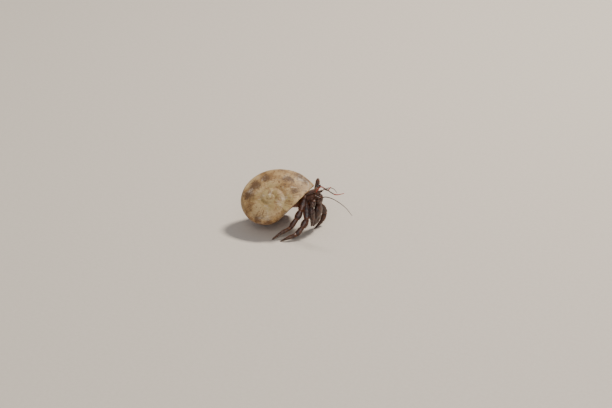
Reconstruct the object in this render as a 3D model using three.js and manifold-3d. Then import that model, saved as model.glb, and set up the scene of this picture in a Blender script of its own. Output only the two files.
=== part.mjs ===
// A land hermit crab walking in a worn, low-spired sea-snail shell. Millimetres, +Z up, the crab heads
// along +X and its left side is +Y. It stands on the shell's underside and three feet at z = 0.
import * as THREE from "three";
import { mergeVertices } from "three/addons/utils/BufferGeometryUtils.js";
import Module from "manifold-3d";

const wasm = await Module();
wasm.setup();

// Driving dimensions
const GAP = 0.1; // clearance between neighbouring plates
const CENTRE = [6.26, 3.16]; // middle of the crab's floor plan, moved to the origin
const FLOOR = 0.06; // height cut off under the feet and the shell, which leaves small flats
const SHELL = {
  growth: 0.1628, // natural log of the size gained per radian of coil
  axisDistance: 10.0, // whorl centre to coiling axis, at coil angle 0
  drop: 14.87, // whorl centre below the apex, at coil angle 0
  halfWidth: 7.12,
  halfHeight: 14.04,
  tilt: -0.7, // turn of the whorl's section in its own plane
  bulge: 0.08, // how far each turn of the spire stands out, as a share of its distance from the apex
  apex: [-5.77, -4.07, 16.93],
  lean: THREE.MathUtils.degToRad(33.95), // coiling axis leans to the crab's right
  roll: THREE.MathUtils.degToRad(5.35),
  turn: THREE.MathUtils.degToRad(49.59),
  mouthNormal: [0.267, -0.8385, -0.475], // in the shell's own frame
  mouthDistance: 10.35,
  lipEnd: THREE.MathUtils.degToRad(74), // coil angle at which the lip meets the suture
  wall: 0.8,
};
const FEELER = 0.27; // half thickness of the feelers

// ---------- solids ----------
function solidOf(geometry) {
  const g = geometry.clone();
  g.deleteAttribute("normal");
  g.deleteAttribute("uv");
  const merged = mergeVertices(g, 1e-4);
  return new wasm.Manifold(
    new wasm.Mesh({
      numProp: 3,
      vertProperties: new Float32Array(merged.attributes.position.array),
      triVerts: new Uint32Array(merged.index.array),
    }),
  );
}

function geometryOf(solid) {
  const mesh = solid.getMesh();
  const g = new THREE.BufferGeometry();
  g.setAttribute("position", new THREE.BufferAttribute(new Float32Array(mesh.vertProperties), 3));
  g.setIndex(new THREE.BufferAttribute(new Uint32Array(mesh.triVerts), 1));
  g.computeVertexNormals();
  return g;
}

function largest(solid) {
  const bodies = solid.decompose();
  return bodies.reduce((a, b) => (a.volume() > b.volume() ? a : b));
}

// Moves every vertex of a geometry through fn(x, y, z) -> [x, y, z].
function warp(geometry, fn) {
  const p = geometry.attributes.position;
  for (let i = 0; i < p.count; i++) {
    p.setXYZ(i, ...fn(p.getX(i), p.getY(i), p.getZ(i)));
  }
  return geometry;
}

// Value at t (0 to 1) of a smooth run through evenly spaced numbers.
function along(values, t) {
  const x = t * (values.length - 1);
  const i = Math.min(Math.floor(x), values.length - 2);
  const f = x - i;
  const s = f * f * (3 - 2 * f);
  return values[i] * (1 - s) + values[i + 1] * s;
}

// A limb plate: a sphere drawn out along a bowed line, broad one way and thin the other.
function plate({ from, to, bow = [0, 0, 0], broad, wide, thin, sides = 8, rings = 6, grow = 0 }) {
  const fill = 0.33; // under 0.5 the ends are blunt, at 0.5 the outline would be an ellipse
  const a = new THREE.Vector3(...from);
  const b = new THREE.Vector3(...to);
  const middle = a.clone().add(b).multiplyScalar(0.5).add(new THREE.Vector3(...bow));
  const line = new THREE.QuadraticBezierCurve3(a, middle, b);
  const length = b.clone().sub(a).length();
  return warp(new THREE.SphereGeometry(1, sides, rings), (x, y, z) => {
    const t = (1 + y) / 2;
    const axis = line.getTangent(t);
    const side = new THREE.Vector3(...broad).addScaledVector(axis, -axis.dot(new THREE.Vector3(...broad)));
    side.normalize();
    const up = side.clone().cross(axis);
    const ring = Math.hypot(x, z);
    const full = ring < 1e-6 ? 0 : Math.pow(ring, fill - 1);
    const p = line.getPoint(t);
    p.addScaledVector(axis, (grow * (2 * t - 1) * length) / Math.max(length, 1));
    p.addScaledVector(side, x * full * (along(wide, t) + grow));
    p.addScaledVector(up, z * full * (along(thin, t) + grow));
    return p.toArray();
  });
}

// A thin round feeler along a smooth line through points.
function feeler(points, radius, steps) {
  const line = new THREE.CatmullRomCurve3(points.map((p) => new THREE.Vector3(...p)));
  const sides = 6;
  const corners = Array.from({ length: sides }, (_, i) => {
    const a = (2 * Math.PI * i) / sides;
    return new THREE.Vector2(radius * Math.cos(a), radius * Math.sin(a));
  });
  const shape = new THREE.Shape(corners);
  return new THREE.ExtrudeGeometry(shape, { steps, bevelEnabled: false, extrudePath: line });
}

// ---------- the snail shell ----------
// One stretch of whorl tube between two coil angles, its section an ellipse that grows with the coil.
function whorl(from, to, inset, across, lengthwise) {
  const s = SHELL;
  const g = new THREE.CylinderGeometry(1, 1, 2, across, lengthwise);
  return warp(g, (x, y, z) => {
    const angle = from + ((y + 1) / 2) * (to - from);
    const size = Math.exp(s.growth * angle);
    const a = Math.max(s.halfWidth * size - inset, 0.05) * x;
    const c = Math.max(s.halfHeight * size - inset, 0.05) * z;
    const out = size * s.axisDistance + a * Math.cos(s.tilt) + c * Math.sin(s.tilt);
    const up = -size * s.drop + a * Math.sin(s.tilt) - c * Math.cos(s.tilt);
    const r = Math.max(out, 0.02);
    return [r * Math.cos(-angle), r * Math.sin(-angle), up];
  });
}

// Point of the whorl's section ellipse, as [distance from the axis, height below the apex], at size 1.
function sectionPoint(q) {
  const s = SHELL;
  const a = s.halfWidth * Math.cos(q);
  const c = s.halfHeight * Math.sin(q);
  return [
    s.axisDistance + a * Math.cos(s.tilt) - c * Math.sin(s.tilt),
    -s.drop + a * Math.sin(s.tilt) + c * Math.cos(s.tilt),
  ];
}

// Angle on the section ellipse where score is largest.
function bestAngle(score) {
  let best = 0;
  for (let i = 1; i < 720; i++) {
    const q = (i * Math.PI) / 360;
    if (score(sectionPoint(q)) > score(sectionPoint(best))) best = q;
  }
  return best;
}

// The shell's outer profile: down the spire's flank, which is straight from the apex to where it
// touches the section but for a slight bulge on each turn, round the section to its lowest point,
// and in along the base to the axis. The ends of these stretches are shares of the whole profile.
const FLANK_END = 0.3;
const ROUND_END = 0.75;
const BASE_END = 0.88;
const SPIRE_TURNS = 2.5;
const BASE_DISH = 0.06; // how far the base is hollowed at the axis, as a share of its depth
const TOUCH = bestAngle(([r, z]) => Math.atan2(r, -z));
const LOWEST = bestAngle(([, z]) => -z);
const OUTER = bestAngle(([r]) => r);
const wrap = (q) => ((q % (2 * Math.PI)) + 2 * Math.PI) % (2 * Math.PI);
const SENSE = wrap(OUTER - TOUCH) < wrap(LOWEST - TOUCH) ? 1 : -1;
const SWEEP = SENSE > 0 ? wrap(LOWEST - TOUCH) : wrap(TOUCH - LOWEST);

function outline(f) {
  if (f < FLANK_END) {
    const turns = SPIRE_TURNS * (1 - f / FLANK_END);
    const share = f === 0 ? 0 : Math.exp(-2 * Math.PI * SHELL.growth * turns);
    const lift = SHELL.bulge * Math.sin(Math.PI * (turns % 1));
    const [r, z] = sectionPoint(TOUCH);
    return [share * (r - lift * z), share * (z + lift * r)];
  }
  if (f < ROUND_END) {
    return sectionPoint(TOUCH + (SENSE * SWEEP * (f - FLANK_END)) / (ROUND_END - FLANK_END));
  }
  const [r, z] = sectionPoint(LOWEST);
  if (f < BASE_END) {
    const g = (f - ROUND_END) / (BASE_END - ROUND_END);
    return [r * (1 - g), z * (1 - BASE_DISH * g * g)];
  }
  return [0, (z * (1 - BASE_DISH) * (1 - f)) / (1 - BASE_END)];
}

// One stretch of the filled shell, from the axis out to the profile, between two coil angles.
function filled(from, to, around, lengthwise) {
  return warp(new THREE.CylinderGeometry(1, 1, 2, around, lengthwise), (x, y, z) => {
    const angle = from + ((y + 1) / 2) * (to - from);
    const size = Math.exp(SHELL.growth * angle);
    const turned = wrap(Math.atan2(-x, z)) / (2 * Math.PI);
    const centre = Math.hypot(x, z) < 0.5;
    const inside = [SHELL.axisDistance * 0.6, -SHELL.drop * 0.8];
    const [r, h] = centre ? inside : outline(turned > 0.9999 ? 0 : turned);
    const out = Math.max(size * r, 0.01);
    return [out * Math.cos(-angle), out * Math.sin(-angle), size * h];
  });
}

function shellSolid() {
  const turn = Math.PI;
  const first = solidOf(filled(-3.5 * turn, -2.35 * turn, 12, 6));
  const second = solidOf(filled(-2.6 * turn, -1.9 * turn, 20, 5)).add(
    solidOf(filled(-1.95 * turn, -1.4 * turn, 22, 4)),
  );
  let body = second.add(solidOf(filled(-1.45 * turn, -0.9 * turn, 23, 5)));
  body = body.add(solidOf(filled(-0.95 * turn, -0.2 * turn, 28, 8)));
  body = body.add(solidOf(filled(-0.25 * turn, SHELL.lipEnd, 28, 8)));
  // the hollow follows the coil in, and stops each time against the wall of the turn before it
  body = body.subtract(solidOf(whorl(-0.5 * turn, 0.55 * turn, SHELL.wall, 17, 7)).subtract(second));
  body = body.subtract(solidOf(whorl(-1.35 * turn, -0.45 * turn, SHELL.wall, 11, 6)).subtract(first));
  // the mouth is a plane across the last whorl
  const normal = new THREE.Vector3(...SHELL.mouthNormal).normalize();
  const reach = 80;
  const block = new THREE.BoxGeometry(2 * reach, 2 * reach, reach);
  const turnTo = new THREE.Quaternion().setFromUnitVectors(new THREE.Vector3(0, 0, 1), normal);
  block.applyQuaternion(turnTo);
  block.translate(...normal.clone().multiplyScalar(SHELL.mouthDistance + reach / 2).toArray());
  return largest(body.subtract(solidOf(block)));
}

// ---------- the list of pieces ----------
const DARK = { color: 0x4a2723, roughness: 0.45 };
const RED = { color: 0x6e3328, roughness: 0.45 };
const pieces = []; // { name, make(grow) -> solid, look }
const add = (name, look, ...plates) =>
  pieces.push({
    name,
    look,
    make: (grow) => plates.map((p) => solidOf(plate({ ...p, grow }))).reduce((a, b) => a.add(b)),
  });

// Walking legs: joint places from hip to foot, and half widths and half thicknesses of the merus,
// carpus, propodus and dactyl that lie between them.
const LEG = {
  merus: { wide: [1.15, 1.75, 1.45], thin: [0.85, 1.0, 0.9] },
  carpus: { wide: [1.0, 1.45, 1.3], thin: [0.8, 0.95, 0.9] },
  propodus: { wide: [0.95, 1.1, 0.95], thin: [0.75, 0.85, 0.7] },
  dactyl: { wide: [0.8, 0.8, 0.5, 0.28], thin: [0.62, 0.6, 0.42, 0.26] },
};
const LEGS = {
  leg_2_right: {
    joints: [
      [9.4, 2.6, 14.2], [11.31, -1.35, 8.4], [10.36, -4.0, 5.2], [8.53, -6.84, 2.4],
      [2.8, -11.22, -0.12],
    ],
    bow: [0.5, -0.9, 0.9],
  },
  leg_3_right: {
    joints: [
      [8.0, 3.4, 16.0], [7.86, -0.2, 11.35], [6.7, -2.39, 7.9], [4.95, -5.41, 4.24],
      [-1.2, -11.1, -0.12],
    ],
    bow: [0.3, -0.9, 1.2],
  },
  leg_2_left: {
    joints: [
      [11.2, 7.9, 15.9], [11.0, 10.7, 22.2], [9.9, 12.2, 17.6], [9.2, 12.6, 12.6],
      [9.0, 11.4, 5.4],
    ],
    bow: [0.3, 0.7, 0.2],
  },
  leg_3_left: {
    joints: [
      [9.6, 7.6, 13.6], [12.48, 9.68, 11.2], [13.72, 12.46, 6.2], [12.66, 11.42, 2.3],
      [11.12, 6.91, -0.12],
    ],
    bow: [0.3, 0.9, 0.5],
  },
};
for (const [leg, { joints, bow }] of Object.entries(LEGS)) {
  // the plates are flattened across the plane in which the leg bends
  const points = joints.map((p) => new THREE.Vector3(...p));
  const thigh = points[1].clone().sub(points[0]);
  const flat = thigh.cross(points[4].clone().sub(points[1])).normalize();
  for (const i of [3, 2, 1, 0]) {
    const kind = ["merus", "carpus", "propodus", "dactyl"][i];
    add(`${leg}_${kind}`, i === 3 ? DARK : RED, {
      from: joints[i],
      to: joints[i + 1],
      bow: i === 3 ? bow : [0, 0, 0],
      broad: flat.clone().cross(points[i + 1].clone().sub(points[i])).toArray(),
      ...LEG[kind],
    });
  }
}

// Claws: the left one is the larger. Both hang in front of the mouth with their fingers pointing down.
const across = [0, 1, 0];
add("claw_left_finger", DARK, {
  from: [12.7, 4.3, 8.2], to: [11.5, 4.5, 2.5], bow: [0.9, -0.9, 0], broad: across,
  wide: [1.15, 1.15, 0.4], thin: [1.1, 1.0, 0.35],
});
add(
  "claw_left_palm",
  DARK,
  {
    from: [13.2, 6.4, 13.3], to: [12.6, 5.9, 6.4], bow: [0.5, 0, 0], broad: across,
    wide: [1.9, 2.75, 2.1], thin: [1.3, 1.65, 1.3], sides: 10, rings: 7,
  },
  {
    from: [12.7, 6.9, 8.2], to: [11.2, 5.3, 2.2], bow: [0.9, 1.0, 0], broad: across,
    wide: [1.4, 1.2, 0.4], thin: [1.2, 1.05, 0.35],
  },
);
add("claw_left_carpus", DARK, {
  from: [13.9, 7.2, 16.6], to: [13.3, 6.5, 13.0],
  broad: across, wide: [1.3, 1.75, 1.5], thin: [1.1, 1.4, 1.2],
});
add("claw_left_merus", RED, {
  from: [11.4, 6.6, 15.0], to: [14.0, 7.1, 16.8],
  broad: [0, 0, 1], wide: [1.3, 1.5, 1.2], thin: [1.1, 1.3, 1.1],
});
add("claw_right_finger", DARK, {
  from: [12.5, 2.4, 8.6], to: [12.0, 2.1, 4.0], bow: [0.5, 0.6, 0], broad: across,
  wide: [0.75, 0.7, 0.35], thin: [0.8, 0.75, 0.33],
});
add(
  "claw_right_palm",
  DARK,
  {
    from: [12.0, 1.9, 13.2], to: [12.5, 1.4, 7.4], bow: [0.4, 0, 0], broad: across,
    wide: [1.2, 1.65, 1.3], thin: [1.0, 1.2, 1.0], sides: 9, rings: 7,
  },
  {
    from: [12.5, 0.9, 8.6], to: [12.0, 1.5, 3.7], bow: [0.5, -0.5, 0], broad: across,
    wide: [0.85, 0.75, 0.35], thin: [0.85, 0.75, 0.33],
  },
);
add("claw_right_carpus", DARK, {
  from: [12.9, 2.6, 15.9], to: [12.1, 2.0, 12.9],
  broad: across, wide: [0.9, 1.25, 1.1], thin: [0.8, 1.05, 0.9],
});
add("claw_right_merus", RED, {
  from: [11.0, 4.2, 14.9], to: [12.9, 2.8, 16.0],
  broad: [0, 0, 1], wide: [1.0, 1.2, 0.9], thin: [0.9, 1.0, 0.8],
});

// Head: eyes on stalks, mouth limbs, and the stout bases of the feelers.
for (const [side, base, tip] of [
  ["right", [12.2, 4.95, 19.4], [13.5, 4.6, 21.9]],
  ["left", [12.2, 6.2, 19.4], [13.65, 6.4, 21.6]],
]) {
  const up = new THREE.Vector3(...tip).sub(new THREE.Vector3(...base)).normalize();
  const end = new THREE.Vector3(...tip).addScaledVector(up, 0.75).toArray();
  const start = new THREE.Vector3(...tip).addScaledVector(up, -0.1).toArray();
  add(`eye_${side}`, { color: 0x0b0908, roughness: 0.12 }, {
    from: start, to: end,
    broad: [0, 1, 0], wide: [0.42, 0.45, 0.36], thin: [0.5, 0.55, 0.42], sides: 9, rings: 7,
  });
  add(`eyestalk_${side}`, { color: 0xa5603f, roughness: 0.4 }, {
    from: base, to: tip, broad: [0, 1, 0], wide: [0.4, 0.34, 0.38], thin: [0.6, 0.48, 0.5], rings: 6,
  });
}
add("mouth_limb_right", RED, {
  from: [12.4, 4.7, 16.6], to: [12.5, 4.0, 13.2],
  broad: [1, 0, 0], wide: [0.5, 0.6, 0.4], thin: [0.4, 0.5, 0.35],
});
add("mouth_limb_left", RED, {
  from: [12.6, 5.5, 16.6], to: [12.4, 4.95, 14.0],
  broad: [1, 0, 0], wide: [0.4, 0.42, 0.35], thin: [0.35, 0.4, 0.32],
});
add("antenna_base_right", RED, {
  from: [12.5, 4.0, 17.7], to: [15.2, 3.7, 16.9],
  broad: [0, 0, 1], wide: [0.6, 0.6, 0.45], thin: [0.55, 0.55, 0.4],
});
add("antenna_base_left", RED, {
  from: [12.6, 7.2, 17.9], to: [14.3, 8.2, 18.7],
  broad: [0, 0, 1], wide: [0.6, 0.6, 0.45], thin: [0.55, 0.55, 0.4],
});
add("carapace", RED, {
  from: [12.9, 5.5, 19.5], to: [5.6, 6.5, 14.9], bow: [0, 0, 0.7], broad: across,
  wide: [2.0, 2.6, 2.9], thin: [0.7, 0.95, 0.9], sides: 10, rings: 8,
});
add("thorax", RED, {
  from: [12.9, 5.6, 17.4], to: [4.0, 6.9, 12.0], broad: across,
  wide: [2.3, 3.1, 3.6], thin: [1.9, 2.6, 2.6], sides: 10, rings: 7,
});
add("abdomen", { color: 0x8f5240, roughness: 0.6 }, {
  from: [5.6, 7.0, 12.6], to: [-11.9, 7.1, 11.2], bow: [0, 3.6, -1.5], broad: [0, 0.3, 1],
  wide: [3.4, 4.2, 3.6, 2.2], thin: [3.0, 3.4, 3.0, 2.0], sides: 10, rings: 8,
});

// ---------- assembly ----------
const crab = new THREE.Group();
const made = [];
const block = new THREE.BoxGeometry(200, 200, 20);
block.translate(0, 0, FLOOR - 10);
const ground = solidOf(block);

function place(name, solid, look) {
  const material = new THREE.MeshStandardMaterial({ metalness: 0, ...look });
  const mesh = new THREE.Mesh(geometryOf(solid), material);
  mesh.name = name;
  crab.add(mesh);
}

// Each piece gives way to the pieces before it, so a joint's base is cupped by the plate behind it.
for (const { name, look, make } of pieces) {
  let solid = make(0).subtract(ground);
  for (const other of made) {
    if (solid.intersect(other.grown).volume() > 0) solid = solid.subtract(other.grown);
  }
  solid = largest(solid);
  made.push({ name, grown: make(GAP) });
  place(name, solid, look);
}

// Feelers start just off the bases that carry them.
const feelers = {
  antenna_right: [
    [15.75, 3.4, 17.1], [18.11, 2.6, 18.69], [21.54, 1.6, 19.15], [25.45, 0.6, 18.5],
    [29.41, -0.4, 16.94], [32.99, -1.2, 14.05],
  ],
  antenna_left: [[14.75, 8.6, 19.05], [16.3, 10.6, 19.4], [17.3, 13.4, 18.0], [17.8, 16.5, 14.6]],
  antennule_right: [
    [13.3, 4.7, 20.1], [15.09, 4.6, 22.15], [18.53, 4.0, 21.62], [22.78, 3.2, 20.52],
    [27.43, 2.6, 22.22],
  ],
  antennule_left: [[13.3, 6.3, 20.1], [14.4, 6.7, 21.3], [17.03, 7.2, 19.83], [18.88, 7.4, 21.71]],
};
for (const [name, points] of Object.entries(feelers)) {
  let solid = solidOf(feeler(points, FEELER, points.length * 2));
  for (const other of made) {
    if (solid.intersect(other.grown).volume() > 0) solid = solid.subtract(other.grown);
  }
  const color = name.startsWith("antennule") ? 0x9c3a33 : 0x3d2a24;
  place(name, largest(solid), { color, roughness: 0.4 });
}

// The shell, turned into place, with its own small flat underneath.
const posed = new THREE.Matrix4()
  .makeRotationFromEuler(new THREE.Euler(SHELL.lean, SHELL.roll, SHELL.turn, "XYZ"))
  .setPosition(...SHELL.apex);
let shell = solidOf(geometryOf(shellSolid()).applyMatrix4(posed)).subtract(ground);
for (const other of made) {
  if (shell.intersect(other.grown).volume() > 0) shell = shell.subtract(other.grown);
}
place("shell", largest(shell), { color: 0xb29a72, roughness: 0.55 });

crab.position.set(-CENTRE[0], -CENTRE[1], -FLOOR);

const root = new THREE.Group();
root.add(crab);
export default root;
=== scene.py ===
"""A land hermit crab walking in a worn, low-spired snail shell. Metres, +Z up, the crab heads along +X."""
import math

import bpy
import numpy as np
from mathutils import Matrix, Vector


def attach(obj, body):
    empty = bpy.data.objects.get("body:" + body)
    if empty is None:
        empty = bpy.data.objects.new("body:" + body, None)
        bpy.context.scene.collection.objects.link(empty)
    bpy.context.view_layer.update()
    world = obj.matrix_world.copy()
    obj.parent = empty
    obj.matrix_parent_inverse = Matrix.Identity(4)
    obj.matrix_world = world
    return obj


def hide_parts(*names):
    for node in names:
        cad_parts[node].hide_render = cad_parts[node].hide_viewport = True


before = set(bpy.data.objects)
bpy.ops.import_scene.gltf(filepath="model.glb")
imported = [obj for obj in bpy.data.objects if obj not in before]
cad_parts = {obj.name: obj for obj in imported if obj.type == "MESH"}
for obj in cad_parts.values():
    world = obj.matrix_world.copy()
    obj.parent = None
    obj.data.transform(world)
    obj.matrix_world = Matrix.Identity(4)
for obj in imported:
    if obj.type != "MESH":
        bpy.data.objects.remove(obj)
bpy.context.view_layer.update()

# ---------- Camera, floor and light ----------
# A long lens looks down on the crab from its right front, and takes in much bare floor around it. The
# floor is plain pale card. A warm lamp stands high behind the crab, a broader and weaker one stands by
# the camera, and a pale sky fills the shadows.
scene = bpy.context.scene
MM = 0.001
AIM = Vector((2.11, 0.74, 12.81)) * MM
VIEW_TURN = math.radians(25)
VIEW_DROP = math.radians(25)
VIEW_DISTANCE = 1.0098
look = Vector((
    -math.sin(VIEW_TURN) * math.cos(VIEW_DROP),
    math.cos(VIEW_TURN) * math.cos(VIEW_DROP),
    -math.sin(VIEW_DROP),
))
camera = bpy.data.objects.new("camera", bpy.data.cameras.new("camera"))
camera.data.lens = 135
camera.data.sensor_width = 36
camera.data.clip_start = 0.01
camera.location = AIM - look * VIEW_DISTANCE
camera.rotation_euler = look.to_track_quat("-Z", "Y").to_euler()
scene.collection.objects.link(camera)
scene.camera = camera


class Value:
    """A material's socket, on which arithmetic adds the Math nodes that work it out."""

    def __init__(self, tree, socket):
        self.tree = tree
        self.socket = socket

    def math(self, operation, *others):
        """The named operation on this value and the others, each a number or a Value."""
        node = self.tree.nodes.new("ShaderNodeMath")
        node.operation = operation
        for place, value in enumerate((self, *others)):
            if isinstance(value, Value):
                self.tree.links.new(value.socket, node.inputs[place])
            else:
                node.inputs[place].default_value = value
        return Value(self.tree, node.outputs[0])

    def __add__(self, other):
        return self.math("ADD", other)

    __radd__ = __add__

    def __mul__(self, other):
        return self.math("MULTIPLY", other)

    __rmul__ = __mul__

    def __sub__(self, other):
        return self.math("SUBTRACT", other)

    def __rsub__(self, other):
        return (self * -1.0) + other

    def __truediv__(self, other):
        return self.math("DIVIDE", other)


class Paint:
    """A material being mixed. node() adds any node from its type, its settings and its sockets' values."""

    def __init__(self, name, **constants):
        self.material = bpy.data.materials.new(name)
        self.material.use_nodes = True
        self.tree = self.material.node_tree
        self.shader = self.tree.nodes["Principled BSDF"]
        for socket, value in constants.items():
            self.shader.inputs[socket.replace("_", " ")].default_value = value

    def node(self, kind, settings=None, sockets=None, out=0):
        """A node's output: its settings are set first, then its sockets' numbers or links."""
        made = self.tree.nodes.new("ShaderNode" + kind)
        for name, value in (settings or {}).items():
            if name == "stops":
                ramp = made.color_ramp
                while len(ramp.elements) < len(value):
                    ramp.elements.new(0.5)
                for element, (place, colour) in zip(ramp.elements, value):
                    element.position = place
                    element.color = (*colour, 1)
            else:
                setattr(made, name, value)
        for name, value in (sockets or {}).items():
            if isinstance(value, Value):
                self.tree.links.new(value.socket, made.inputs[name])
            else:
                made.inputs[name].default_value = value
        return Value(self.tree, made.outputs[out])

    def place(self):
        """Object coordinates, in millimetres."""
        where = self.node("TexCoord", out=3)
        return self.node("VectorMath", {"operation": "SCALE"}, {0: where, "Scale": 1000.0})

    def layer(self, name):
        """The number that the piece's mesh keeps at each point under this name."""
        return self.node("Attribute", {"attribute_name": name}, out=2)

    def noise(self, where, scale, detail=3.0, rough=0.55, twist=0.0):
        """Cloudy noise about 0.5, with scale clouds to a millimetre."""
        sockets = {"Vector": where, "Scale": scale, "Detail": detail, "Roughness": rough, "Distortion": twist}
        return self.node("TexNoise", None, sockets)

    def ramp(self, value, *stops):
        """The colour at a value, between stops of a value and its colour."""
        return self.node("ValToRGB", {"stops": stops}, {"Fac": value})

    def step(self, value, low, high):
        """0 below low, 1 above high, and smooth between."""
        settings = {"interpolation_type": "SMOOTHSTEP"}
        return self.node("MapRange", settings, {"Value": value, "From Min": low, "From Max": high})

    def blend(self, share, old, new):
        """The old colour turned into the new one by share."""
        old, new = (colour if isinstance(colour, Value) else (*colour, 1) for colour in (old, new))
        return self.node("Mix", {"data_type": "RGBA"}, {0: share, 6: old, 7: new}, out=2)

    def bump(self, height, depth, strength=1.0):
        """The surface's normal, tilted as by a relief of the given depth in metres."""
        return self.node("Bump", None, {"Height": height, "Distance": depth, "Strength": strength})

    def finish(self, **links):
        """The material, with its varying values fed to the shader's sockets."""
        for socket, value in links.items():
            self.tree.links.new(value.socket, self.shader.inputs[socket.replace("_", " ")])
        return self.material


def floor_card():
    """Matt card, clouded very slightly."""
    paint = Paint("floor_card", Roughness=0.9, Specular_IOR_Level=0.1)
    grain = paint.noise(paint.place(), 0.6, 4.0)
    colour = paint.ramp(grain, (0.3, (0.57, 0.51, 0.44)), (0.7, (0.60, 0.54, 0.47)))
    return paint.finish(Base_Color=colour)


FLOOR_REACH = 3.0
corners = [(x * FLOOR_REACH, y * FLOOR_REACH, 0) for x, y in ((-1, -1), (1, -1), (1, 1), (-1, 1))]
card = bpy.data.meshes.new("floor")
card.from_pydata(corners, [], [(0, 1, 2, 3)])
card.materials.append(floor_card())
floor = bpy.data.objects.new("floor", card)
scene.collection.objects.link(floor)


def lamp(name, place, size, power, colour):
    """A round lamp of a size in metres and a power in watts, turned to the point the camera looks at."""
    light = bpy.data.lights.new(name, "AREA")
    light.shape = "DISK"
    light.size = size
    light.energy = power
    light.color = colour
    holder = bpy.data.objects.new(name, light)
    holder.location = place
    holder.rotation_euler = (AIM - Vector(place)).to_track_quat("-Z", "Y").to_euler()
    scene.collection.objects.link(holder)


lamp("key_lamp", (0.26, 0.52, 0.85), 0.22, 15.5, (1.0, 0.94, 0.85))
lamp("front_lamp", (0.25, -0.70, 0.60), 0.6, 3.2, (1.0, 0.96, 0.92))
world = bpy.data.worlds.new("sky")
world.use_nodes = True
sky = world.node_tree.nodes["Background"].inputs
sky["Color"].default_value = (0.86, 0.9, 1.0, 1)
sky["Strength"].default_value = 0.34
scene.world = world

# ---------- The snail shell ----------
# A thick, low-spired shell of chalky lime, coiled to the right round a solid pillar. Each turn is the
# same wall grown larger, lapped on the one before it at the suture. The lip is worn round and chipped,
# and the wall that drags on the ground is ground flat.
# Sizes and places are millimetres from the crab's own zero, and CENTRE is where the frame's zero lies.
CENTRE = np.array([6.26, 3.16, 0.06])
GROWTH = 0.1628
AXIS_DISTANCE = 10.0
WHORL_DROP = 14.87
HALF_WIDTH = 7.12
HALF_HEIGHT = 14.04
SECTION_TILT = -0.7
SPIRE_TURNS = 1.03
FLANK_BULGE = 0.08
FLANK_TUCK = 0.35
BASE_DISH = 0.06
APEX = np.array([-5.77, -4.07, 16.93])
SHELL_TURN = (math.radians(33.95), math.radians(5.35), math.radians(49.59))
MOUTH_NORMAL = np.array([0.267, -0.8385, -0.475])
MOUTH_DISTANCE = 10.35
WALL = 0.8
APEX_WALL = 3.0
LIP_ROUND = 0.42
LIP_CHIP = 0.16
SUTURE_END = math.radians(74)
SUTURE_SHARPNESS = 7.0
FIRST_ANGLE = -9.5 * math.pi
LEVEL_END = -1.05
WEAR = 0.10
# The height in millimetres below which the shell's lower part gets painted shade with painted orange bounced
# light, and the height over which that fades in.
PAINTED_SHADE_TOP = 9.5
PAINTED_SHADE_FADE = 8.0
AXIS_GAP = 0.02
# Ragged patches on the wall: each one's place and radius.
GREEN_PATCHES = [((-12.0, -7.0, 17.0), 7.5), ((-5.0, -6.0, 16.0), 5.0), ((-21.0, -3.0, 9.0), 6.0)]
DARK_STAINS = [
    ((-17.8, 1.2, 21.2), 2.9), ((-20.6, -3.2, 19.0), 3.3), ((-21.9, -7.4, 16.0), 2.9),
    ((-8.1, 3.8, 21.7), 2.3), ((-3.0, -0.7, 18.7), 2.2), ((-14.5, -14.5, 8.7), 2.4),
    ((-1.0, 7.5, 21.0), 2.6), ((-5.0, 8.6, 22.6), 2.6), ((-13.5, 9.0, 21.0), 3.0),
    ((-23.0, 6.0, 12.0), 4.0), ((-10.0, -12.6, 7.5), 2.0),
]
HONEY, TAN, CREAM = (0.27, 0.155, 0.056), (0.42, 0.27, 0.115), (0.53, 0.37, 0.18)
BAND_BROWN, ALGAE_GREEN, BLOTCH_BROWN = (0.27, 0.145, 0.055), (0.19, 0.155, 0.045), (0.17, 0.082, 0.030)
STAIN_BROWN, LINE_BROWN, SPECK_BROWN = (0.085, 0.040, 0.018), (0.19, 0.105, 0.045), (0.11, 0.056, 0.025)
# The second colour on the next line is painted shade with painted orange bounced light, for the shell's lower
# part.
DOT_BLACK, PAINTED_SHADE_AND_BOUNCE = (0.07, 0.035, 0.02), (0.26, 0.10, 0.030)
# The first colour on the next line paints patches that are partly real wear and partly a painted highlight.
WORN_LIME_AND_HIGHLIGHT, CHALK = (0.62, 0.53, 0.42), (0.74, 0.67, 0.57)
INNER_DARK, INNER_PALE = (0.30, 0.19, 0.11), (0.46, 0.33, 0.22)


def section_point(q):
    """The whorl's section, an ellipse in its own tilted axes: distance from the coiling axis and height."""
    a = HALF_WIDTH * np.cos(q)
    c = HALF_HEIGHT * np.sin(q)
    out = AXIS_DISTANCE + a * math.cos(SECTION_TILT) - c * math.sin(SECTION_TILT)
    up = -WHORL_DROP + a * math.sin(SECTION_TILT) + c * math.cos(SECTION_TILT)
    return np.stack([out, up], -1)


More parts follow.
